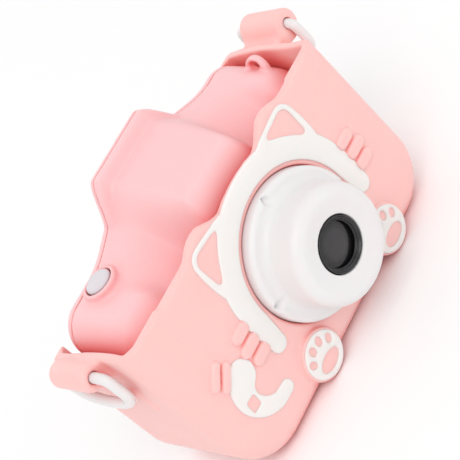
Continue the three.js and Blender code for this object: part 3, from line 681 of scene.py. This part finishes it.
def eyelet(g):
    """The small leaning loop on the right shoulder."""
    dx, dy, dz = g.x - EYELET_X, g.y - FACE - EYELET_DEPTH, g.z - EYELET_Z
    across = dx * math.cos(EYELET_LEAN) - dz * math.sin(EYELET_LEAN)
    up = dx * math.sin(EYELET_LEAN) + dz * math.cos(EYELET_LEAN)
    ring = np.maximum(ellipse(dy, up, 4.2, 5, 0), -ellipse(dy, up - 2.3, 1.9, 1.4, 0))
    return both(np.maximum(ring, -3 - up), np.abs(across) - 1.1, 0.6)


def make_front_shell():
    g = Grid(BODY_LOW, COVER_HIGH, 0.42)
    x, y, z = g.x, g.y, g.z
    outer = body_field(g)
    hollow = outer + SHELL_WALL
    shell = either(outer, eyelet(g), 0.7)
    around = np.hypot(x - BUTTON_X, y - BUTTON_Y)
    shell = either(shell, both(around - BUTTON_COLLAR, np.maximum(z - 57.6, 50 - z), 0.7), 1.2)
    shell = less(shell, hollow, 0.3)
    shell = less(shell, np.maximum(around - BUTTON_HOLE, 52 - z), 0.35)
    sleeve_hole = np.maximum(circle(SLEEVE_HOLE, x, z, LENS_X, LENS_Z), y - FACE - 10)
    front = less(shell, sleeve_hole, 0.3)
    for width, height, shift in ((4.8, 2.2, -7), (6.3, 1.4, 6.5)):
        slot = rounded_box(width, height, 1.2, x - PORTS_X - shift, y - FACE - PORTS_DEPTH)
        front = less(front, np.maximum(slot, z - 6), 0.3)
    front = both(front, y - SEAM + SEAM_GAP, 0.1)
    piece = carve("front_shell_skin", g, front, "camera", "front_shell", shell_plastic)


def make_cover():
    low = (COVER_LOW[0], SEAM - 2, COVER_LOW[2])
    g = Grid(low, COVER_HIGH, 0.3)
    x, y, z = g.x, g.y, g.z
    cover = both(body_field(g), SEAM + SEAM_GAP - y, 0.1)
    window = rounded_box(22, 17, 1.5, x - SCREEN_X, z - SCREEN_Z)
    frame_edge = rounded_box(25.3, 20.3, 2.8, x - SCREEN_X, z - SCREEN_Z)
    recess = np.maximum(frame_edge, BODY_BACK - 1.5 - y)
    cover = less(less(cover, window, 0.2), recess, 0.3)
    for place in KEYS.values():
        cover = less(cover, circle(KEY_HOLE, x, z, place[0], place[2]), 0.35)
    for place in SCREWS.values():
        sink = np.maximum(circle(SCREW_SINK, x, z, place[0], place[2]), BODY_BACK - 1.7 - y)
        hole = circle(SCREW_HOLE, x, z, place[0], place[2])
        cover = less(less(cover, hole, 0.1), sink, 0.3)
    for shift in (-3, 0, 3):
        slot_z = SPEAKER_Z + shift
        left, right = SPEAKER_X - SPEAKER_SLOT_HALF, SPEAKER_X + SPEAKER_SLOT_HALF
        slot = segment(left, slot_z, right, slot_z, 0.6, x, z)
        cover = less(cover, slot, 0.25)
    seat = np.maximum(circle(SELFIE_SEAT, x, z, SELFIE_X, SELFIE_Z), BODY_BACK - 1.3 - y)
    cover = less(less(cover, circle(SELFIE_HOLE, x, z, SELFIE_X, SELFIE_Z), 0.2), seat, 0.3)
    piece = carve("rear_cover_skin", g, cover, "camera", "rear_cover", shell_plastic)


# ---- lens ---------------------------------------------------------------------------------

BARREL_RADIUS = 15.5
BASE_RADIUS = 19.6
BASE_PROUD = 3.3
SLEEVE_RADIUS = 10.7
MOUTH_RADIUS = 7.5
HOOD_SEAT_RADIUS = 9.3
LENS_WINDOW_RADIUS = 6.5
NOTCH_OUT = 18.6


def from_lens_axis(g):
    return np.hypot(g.x - LENS_X, g.z - LENS_Z)


def make_lens():
    g = Grid(BEZEL_LOW, BEZEL_HIGH, 0.27)
    r = from_lens_axis(g)
    y = g.y
    dish = 0.9 * (1 - smooth(7.2, 13, r))
    barrel = both(r - BARREL_RADIUS, LENS_FRONT + dish - y, 3.0)
    base = both(r - BASE_RADIUS, FACE - BASE_PROUD - y, 1.5)
    body = either(barrel, base, 2.6)
    body = both(body, y - FACE - PANEL, 0.4)
    sleeve = np.maximum(r - SLEEVE_RADIUS, slab(FACE, FACE + 4.6, y))
    body = np.minimum(body, sleeve)
    for turn in range(4):
        c, s = math.cos(turn * math.pi / 2), math.sin(turn * math.pi / 2)
        out = (g.x - LENS_X) * s + (g.z - LENS_Z) * c
        across = (g.x - LENS_X) * c - (g.z - LENS_Z) * s
        dip = 0.7 * np.maximum(y - FACE + 2.6, -1)
        notch = np.hypot(across / 1.0, (out - NOTCH_OUT) / 1.3) - 1 + dip
        body = less(body, 0.8 * notch, 0.3)
    body = less(body, r - MOUTH_RADIUS, 0.45)
    body = less(body, np.maximum(r - HOOD_SEAT_RADIUS, LENS_FRONT + 2.6 - y), 0.2)
    piece = carve("lens_barrel", g, body, "camera", "lens_bezel", white_plastic)


def make_hood():
    low, high = box_mm("lens_hood")
    g = Grid(low, high, 0.16)
    r = from_lens_axis(g)
    front = LENS_FRONT
    profile = [(6.95, front + 1), (7.2, front + 1), (7.2, front + 2.9), (9.0, front + 2.9),
               (9.0, FACE - 4.5), (5.4, FACE - 4.5), (5.4, FACE - 10.2), (6.9, FACE - 10.2),
               (6.9, FACE - 11.9), (5.9, FACE - 12.0), (5.9, FACE - 12.35), (6.25, FACE - 12.5),
               (6.3, FACE - 12.9), (6.6, FACE - 13.0)]
    ring = polygon(profile, r, g.y)
    piece = carve("lens_ring", g, ring, "camera", "lens_hood", black_plastic)


def make_lens_window():
    low, high = box_mm("lens_window")
    g = Grid(low, high, 0.14)
    r = from_lens_axis(g)
    dome = low[1] + 0.35 * smooth(0, LENS_WINDOW_RADIUS, r)
    glass = both(r - LENS_WINDOW_RADIUS, np.maximum(dome - g.y, g.y - high[1]), 0.15)
    piece = carve("lens_glass", g, glass, "camera", "lens_window", lens_glass)


# ---- small pieces -------------------------------------------------------------------------

BUTTON_RADIUS = 3.75
BUTTON_FLANGE = 4.8
BUTTON_STEM = 2
KEY_RADIUS = 2.7
KEY_FLANGE = 3.3
KEY_HOLE = 3.05
SCREW_HEAD = 2.2
SCREW_SHANK = 1.2
SCREW_PITCH = 0.9
CROSS_HALF_WIDTH = 0.28
CROSS_HALF_LENGTH = 1.25


def make_button():
    g = Grid(BUTTON_LOW, BUTTON_HIGH, 0.15)
    r = np.hypot(g.x - BUTTON_X, g.y - BUTTON_Y)
    crown = BUTTON_HIGH[2] - 0.35 * (r / BUTTON_RADIUS) ** 2
    cap = both(r - BUTTON_RADIUS, g.z - crown, 0.6)
    cap = np.maximum(cap, 53 - g.z)
    flange = np.maximum(r - BUTTON_FLANGE, slab(52.6, 53.6, g.z))
    stem = np.maximum(r - BUTTON_STEM, slab(51.5, 53, g.z))
    button = np.minimum(np.minimum(cap, flange), stem)
    piece = carve("shutter_cap", g, button, "shutter", "shutter_button", grey_plastic)


def key_mark(name, u, v):
    """A generic sign pressed into a key's face."""
    if name == "ok":
        return np.abs(circle(1.15, u, v)) - 0.22
    if name == "mode":
        return np.minimum.reduce([segment(-1.1, s, 1.1, s, 0.2, u, v) for s in (-0.85, 0, 0.85)])
    if name == "power":
        ring = np.maximum(np.abs(circle(1.1, u, v)) - 0.2, -segment(0, 0.2, 0, 2.4, 0.5, u, v))
        return np.minimum(ring, segment(0, 0.1, 0, 1.3, 0.2, u, v))
    turns = {"up": 0, "down": 2, "left": 3, "right": 1}[name] * math.pi / 2
    triangle = np.array([(-1.1, -0.6), (1.1, -0.6), (0, 1.05)])
    c, s = math.cos(turns), math.sin(turns)
    return polygon(triangle @ np.array([(c, -s), (s, c)]), u, v) - 0.12


def make_keys():
    for name, place in KEYS.items():
        node = "key_" + name
        low, high = box_mm(node)
        g = Grid(low, high, 0.14)
        r = np.hypot(g.x - place[0], g.z - place[2])
        cap = both(r - KEY_RADIUS, g.y - high[1] + 0.12 * (r / KEY_RADIUS) ** 2, 0.55)
        key = np.minimum(np.maximum(cap, low[1] + 0.5 - g.y),
                         np.maximum(r - KEY_FLANGE, slab(low[1], low[1] + 1, g.y)))
        mark = key_mark(name, place[0] - g.x, g.z - place[2])
        key = less(key, np.maximum(mark, high[1] - 0.3 - g.y), 0.08)
        look = shell_plastic if name == "ok" else white_plastic
        piece = carve("key_cap_" + name, g, key, name, node, look)


def make_screws():
    for name, place in SCREWS.items():
        low, high = box_mm(name)
        g = Grid(low, high, 0.15)
        r = np.hypot(g.x - place[0], g.z - place[2])
        head_ends = np.maximum(g.y - high[1] + 0.06 * r, high[1] - 1.3 - g.y)
        head = both(r - SCREW_HEAD, head_ends, 0.25)
        thread = 0.12 * (1 + np.sin(g.y * 2 * math.pi / SCREW_PITCH))
        shank = np.maximum(r - SCREW_SHANK + thread, slab(low[1], high[1] - 1, g.y))
        screw = np.minimum(head, shank)
        u, v = np.abs(g.x - place[0]), np.abs(g.z - place[2])
        cross = np.minimum(np.maximum(u - CROSS_HALF_WIDTH, v - CROSS_HALF_LENGTH),
                           np.maximum(v - CROSS_HALF_WIDTH, u - CROSS_HALF_LENGTH))
        screw = less(screw, np.maximum(cross, high[1] - 0.85 - g.y), 0.08)
        piece = carve(name + "_turned", g, screw, "camera", name, steel)


RING_HALF_LENGTH = 11.0
RING_TOP = 6.0
RING_DROP = 6.0
RING_WIRE = 1.4


def make_ring(name):
    """A closed D ring of round wire: a bar through the tube and a bow below it."""
    tube = TUBES[name]
    count, around = ((220, 28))
    angle = np.linspace(0, 2 * math.pi, 4000, endpoint=False)
    power = np.where(np.sin(angle) > 0, 2 / 8, 2 / 2.4)
    height = np.where(np.sin(angle) > 0, RING_TOP, RING_DROP)
    along = RING_HALF_LENGTH * np.sign(np.cos(angle)) * np.abs(np.cos(angle)) ** power
    up = height * np.sign(np.sin(angle)) * np.abs(np.sin(angle)) ** power
    length = np.hypot(np.roll(along, -1) - along, np.roll(up, -1) - up)
    travelled = np.concatenate([[0], np.cumsum(length)[:-1]])
    even = np.linspace(0, length.sum(), count, endpoint=False)
    along, up = np.interp(even, travelled, along), np.interp(even, travelled, up)
    for _ in range(3):
        along = (np.roll(along, 1) + 2 * along + np.roll(along, -1)) / 4
        up = (np.roll(up, 1) + 2 * up + np.roll(up, -1)) / 4
    ahead = np.stack([np.roll(along, -1) - np.roll(along, 1), np.roll(up, -1) - np.roll(up, 1)], 1)
    ahead /= np.linalg.norm(ahead, axis=1)[:, None]
    turn = np.linspace(0, 2 * math.pi, around, endpoint=False)
    points = np.zeros((count, around, 3))
    outward = RING_WIRE * np.cos(turn)
    points[:, :, 0] = tube["x"] + RING_WIRE * np.sin(turn)
    points[:, :, 1] = tube["ring_y"] + along[:, None] + outward * ahead[:, 1:2]
    points[:, :, 2] = tube["z"] - RING_TOP + up[:, None] - outward * ahead[:, 0:1]
    index = np.arange(count * around).reshape(count, around)
    following = np.roll(index, -1, axis=0)
    faces = np.stack([index, np.roll(index, -1, axis=1), np.roll(following, -1, axis=1),
                      following], 2).reshape(-1, 4)
    piece = mesh_piece("ring_" + name, points.reshape(-1, 3), faces)
    piece.data.materials.append(white_plastic)
    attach(piece, name + "_ring")
    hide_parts("strap_ring_" + name)


def make_windows():
    low, high = box_mm("screen_window")
    g = Grid(low, high, 0.3)
    flat = rounded_box(25, 20, 2.5, g.x - SCREEN_X, g.z - SCREEN_Z)
    glass = both(flat, slab(low[1], high[1], g.y), 0.2)
    piece = carve("screen_glass", g, glass, "camera", "screen_window", screen_glass)
    low, high = box_mm("rear_camera_window")
    g = Grid(low, high, 0.14)
    r = np.hypot(g.x - SELFIE_X, g.z - SELFIE_Z)
    glass = both(r - 3.8, slab(low[1], high[1], g.y), 0.15)
    piece = carve("rear_camera_glass", g, glass, "camera", "rear_camera_window", lens_glass)


# ---- materials of the inner and small pieces ------------------------------------------------


def radial(m, centre, near, far):
    """0 at the near radius and 1 at the far one, about an axis along Y, in metres."""
    offset = m.add("ShaderNodeVectorMath", Vector=m.place())
    offset.operation = "SUBTRACT"
    offset.inputs[1].default_value = (centre[0] * MM, 0, centre[1] * MM)
    flat = m.add("ShaderNodeVectorMath")
    flat.operation = "MULTIPLY"
    m.put(flat.inputs[0], offset.outputs[0])
    flat.inputs[1].default_value = (1, 0, 1)
    size = m.add("ShaderNodeVectorMath")
    size.operation = "LENGTH"
    m.put(size.inputs[0], flat.outputs[0])
    return m.spread(size.outputs["Value"], 0.0, 1.0, near * MM, far * MM)


def glass_material(name, centre, near, far, middle, edge):
    m = Nodes(name, Specular_IOR_Level=0.35, Coat_Weight=0.25, Coat_Roughness=0.05)
    tone = m.ramp(radial(m, centre, near, far), (0.0, middle), (0.45, middle), (0.7, edge))
    rough = m.spread(m.noise(260, 3.0), 0.1, 0.2)
    return m.finish(tone, rough, m.bump(m.noise(120, 2.0), 0.03, 0.0002))


def metal(name, colour, roughness, grain):
    m = Nodes(name, Metallic=1.0)
    dull = tuple(c * 0.85 for c in colour[:3]) + (1,)
    tone = m.ramp(m.noise(grain, 4.0), (0.3, dull), (0.7, colour))
    rough = m.spread(m.noise(grain * 2, 3.0), roughness - 0.07, roughness + 0.1)
    return m.finish(tone, rough, m.bump(m.noise(grain * 3), 0.12, 0.0001))


def board_material():
    m = Nodes("circuit_board_green", Specular_IOR_Level=0.5, Coat_Weight=0.2, Coat_Roughness=0.25)
    cells = m.add("ShaderNodeTexVoronoi", Vector=m.place(), Scale=420.0)
    cells.distance = "CHEBYCHEV"
    tone = m.ramp(cells.outputs["Distance"], (0.25, linear("14603a")), (0.5, linear("2a8f5b")))
    rough = m.spread(m.noise(700, 2.0), 0.35, 0.5)
    return m.finish(tone, rough, m.bump(cells.outputs["Distance"], 0.2, 0.0002))


def screen_material():
    """Dark glass with a black mask round the picture area."""
    m = Nodes("screen_glass_look", Specular_IOR_Level=0.6, Coat_Weight=0.7, Coat_Roughness=0.05)
    parts = m.add("ShaderNodeSeparateXYZ", Vector=m.place())
    sides = []
    for axis, middle, half in (("X", SCREEN_X, 21.0), ("Z", SCREEN_Z, 16.0)):
        shifted = m.add("ShaderNodeMath")
        shifted.operation = "SUBTRACT"
        m.put(shifted.inputs[0], parts.outputs[axis])
        shifted.inputs[1].default_value = middle * MM
        size = m.add("ShaderNodeMath")
        size.operation = "ABSOLUTE"
        m.put(size.inputs[0], shifted.outputs[0])
        sides.append(m.spread(size.outputs[0], 0.0, 1.0, (half - 0.2) * MM, (half + 0.2) * MM))
    mask = m.add("ShaderNodeMath")
    mask.operation = "MAXIMUM"
    m.put(mask.inputs[0], sides[0])
    m.put(mask.inputs[1], sides[1])
    tone = m.mix(mask.outputs[0], linear("2b3038"), linear("0d0d0f"))
    rough = m.spread(m.noise(300, 3.0), 0.08, 0.18)
    return m.finish(tone, rough, m.bump(m.noise(150, 2.0), 0.02, 0.0002))


lens_glass = glass_material("lens_glass_look", (LENS_X, LENS_Z), 0.0, 7.4,
                            linear("343234"), linear("161618"))
screen_glass = screen_material()
steel = metal("plated_steel", linear("C4C6C9"), 0.32, 900.0)
foil = metal("battery_foil_look", linear("D2D5D9"), 0.42, 160.0)
board = board_material()

# ---- build --------------------------------------------------------------------------------

make_case()
make_inlays()
make_front_shell()
make_cover()
make_lens()
make_hood()
make_lens_window()
make_button()
make_keys()
make_screws()
make_ring("left")
make_ring("right")
make_windows()

LOOKS = {
    "board": board,
    "battery": foil,
    "dome": steel,
    "socket": steel,
    "membrane": white_silicone,
}
for node_name, node_object in frame["nodes"].items():
    look = next((LOOKS[key] for key in LOOKS if key in node_name), inner_plastic)
    if node_object.hide_render:
        continue
    if not node_object.data.materials:
        node_object.data.materials.append(look)
    for slot in node_object.material_slots:
        slot.material = look

# ---- stage, light and camera --------------------------------------------------------------


FLOOR_HALF = 3.0                   # metres
FLOOR_STEPS = 24
FLOOR_BELOW = 0.05                 # millimetres under the case


def make_floor():
    line = np.linspace(-FLOOR_HALF, FLOOR_HALF, FLOOR_STEPS + 1) / MM
    u, v = np.meshgrid(line, line, indexing="ij")
    points = np.stack([u, v, np.zeros_like(u) - FLOOR_BELOW], 2).reshape(-1, 3)
    index = np.arange(points.shape[0]).reshape(u.shape)
    corners = [index[:-1, :-1], index[1:, :-1], index[1:, 1:], index[:-1, 1:]]
    floor = mesh_piece("floor", points, np.stack(corners, 2).reshape(-1, 4))
    m = Nodes("floor_paper", Specular_IOR_Level=0.1)
    tone = m.ramp(m.noise(3.0, 3.0), (0.3, (0.96, 0.96, 0.96, 1)), (0.7, (0.98, 0.98, 0.98, 1)))
    rough = m.spread(m.noise(40.0, 2.0), 0.75, 0.9)
    floor.data.materials.append(m.finish(tone, rough, m.bump(m.noise(900.0, 2.0), 0.03, 0.0002)))


def make_light(name, place, size, power):
    data = bpy.data.lights.new(name, "AREA")
    data.shape = "DISK"
    data.size = size
    data.energy = power
    light = bpy.data.objects.new(name, data)
    light.location = place
    aim = Vector((0, 0, 0.03)) - Vector(place)
    light.rotation_euler = aim.to_track_quat("-Z", "Y").to_euler()
    bpy.context.scene.collection.objects.link(light)


CAMERA_RIGHT = Vector((0.4523, -0.6279, -0.6333))
CAMERA_UP = Vector((0.8144, 0.0015, 0.5802))
CAMERA_BACK = Vector((-0.3634, -0.7783, 0.5121))
CAMERA_PLACE = Vector((LENS_X - 132.7, FACE - 260.8, LENS_Z + 192.9))
FOCAL_LENGTH = 109.6
SENSOR_WIDTH = 36


def make_camera():
    data = bpy.data.cameras.new("photo_view")
    data.lens = FOCAL_LENGTH
    data.sensor_width = SENSOR_WIDTH
    data.clip_start = 0.01
    camera = bpy.data.objects.new("photo_view", data)
    turn = Matrix((CAMERA_RIGHT, CAMERA_UP, CAMERA_BACK)).transposed().to_4x4()
    camera.matrix_world = Matrix.Translation(CAMERA_PLACE * MM) @ turn
    bpy.context.scene.collection.objects.link(camera)
    bpy.context.scene.camera = camera


def make_world(strength):
    world = bpy.data.worlds.new("studio")
    world.use_nodes = True
    background = world.node_tree.nodes["Background"]
    background.inputs["Color"].default_value = (1, 1, 1, 1)
    background.inputs["Strength"].default_value = strength
    bpy.context.scene.world = world


make_floor()
make_light("key", (-0.35, -0.45, 0.75), 0.6, 2.4)
make_light("fill", (0.6, -0.6, 0.35), 0.7, 0.6)
make_light("back", (0.1, 0.7, 0.5), 0.6, 0.7)
make_world(0.8)
bpy.context.scene.view_settings.view_transform = "Standard"
make_camera()
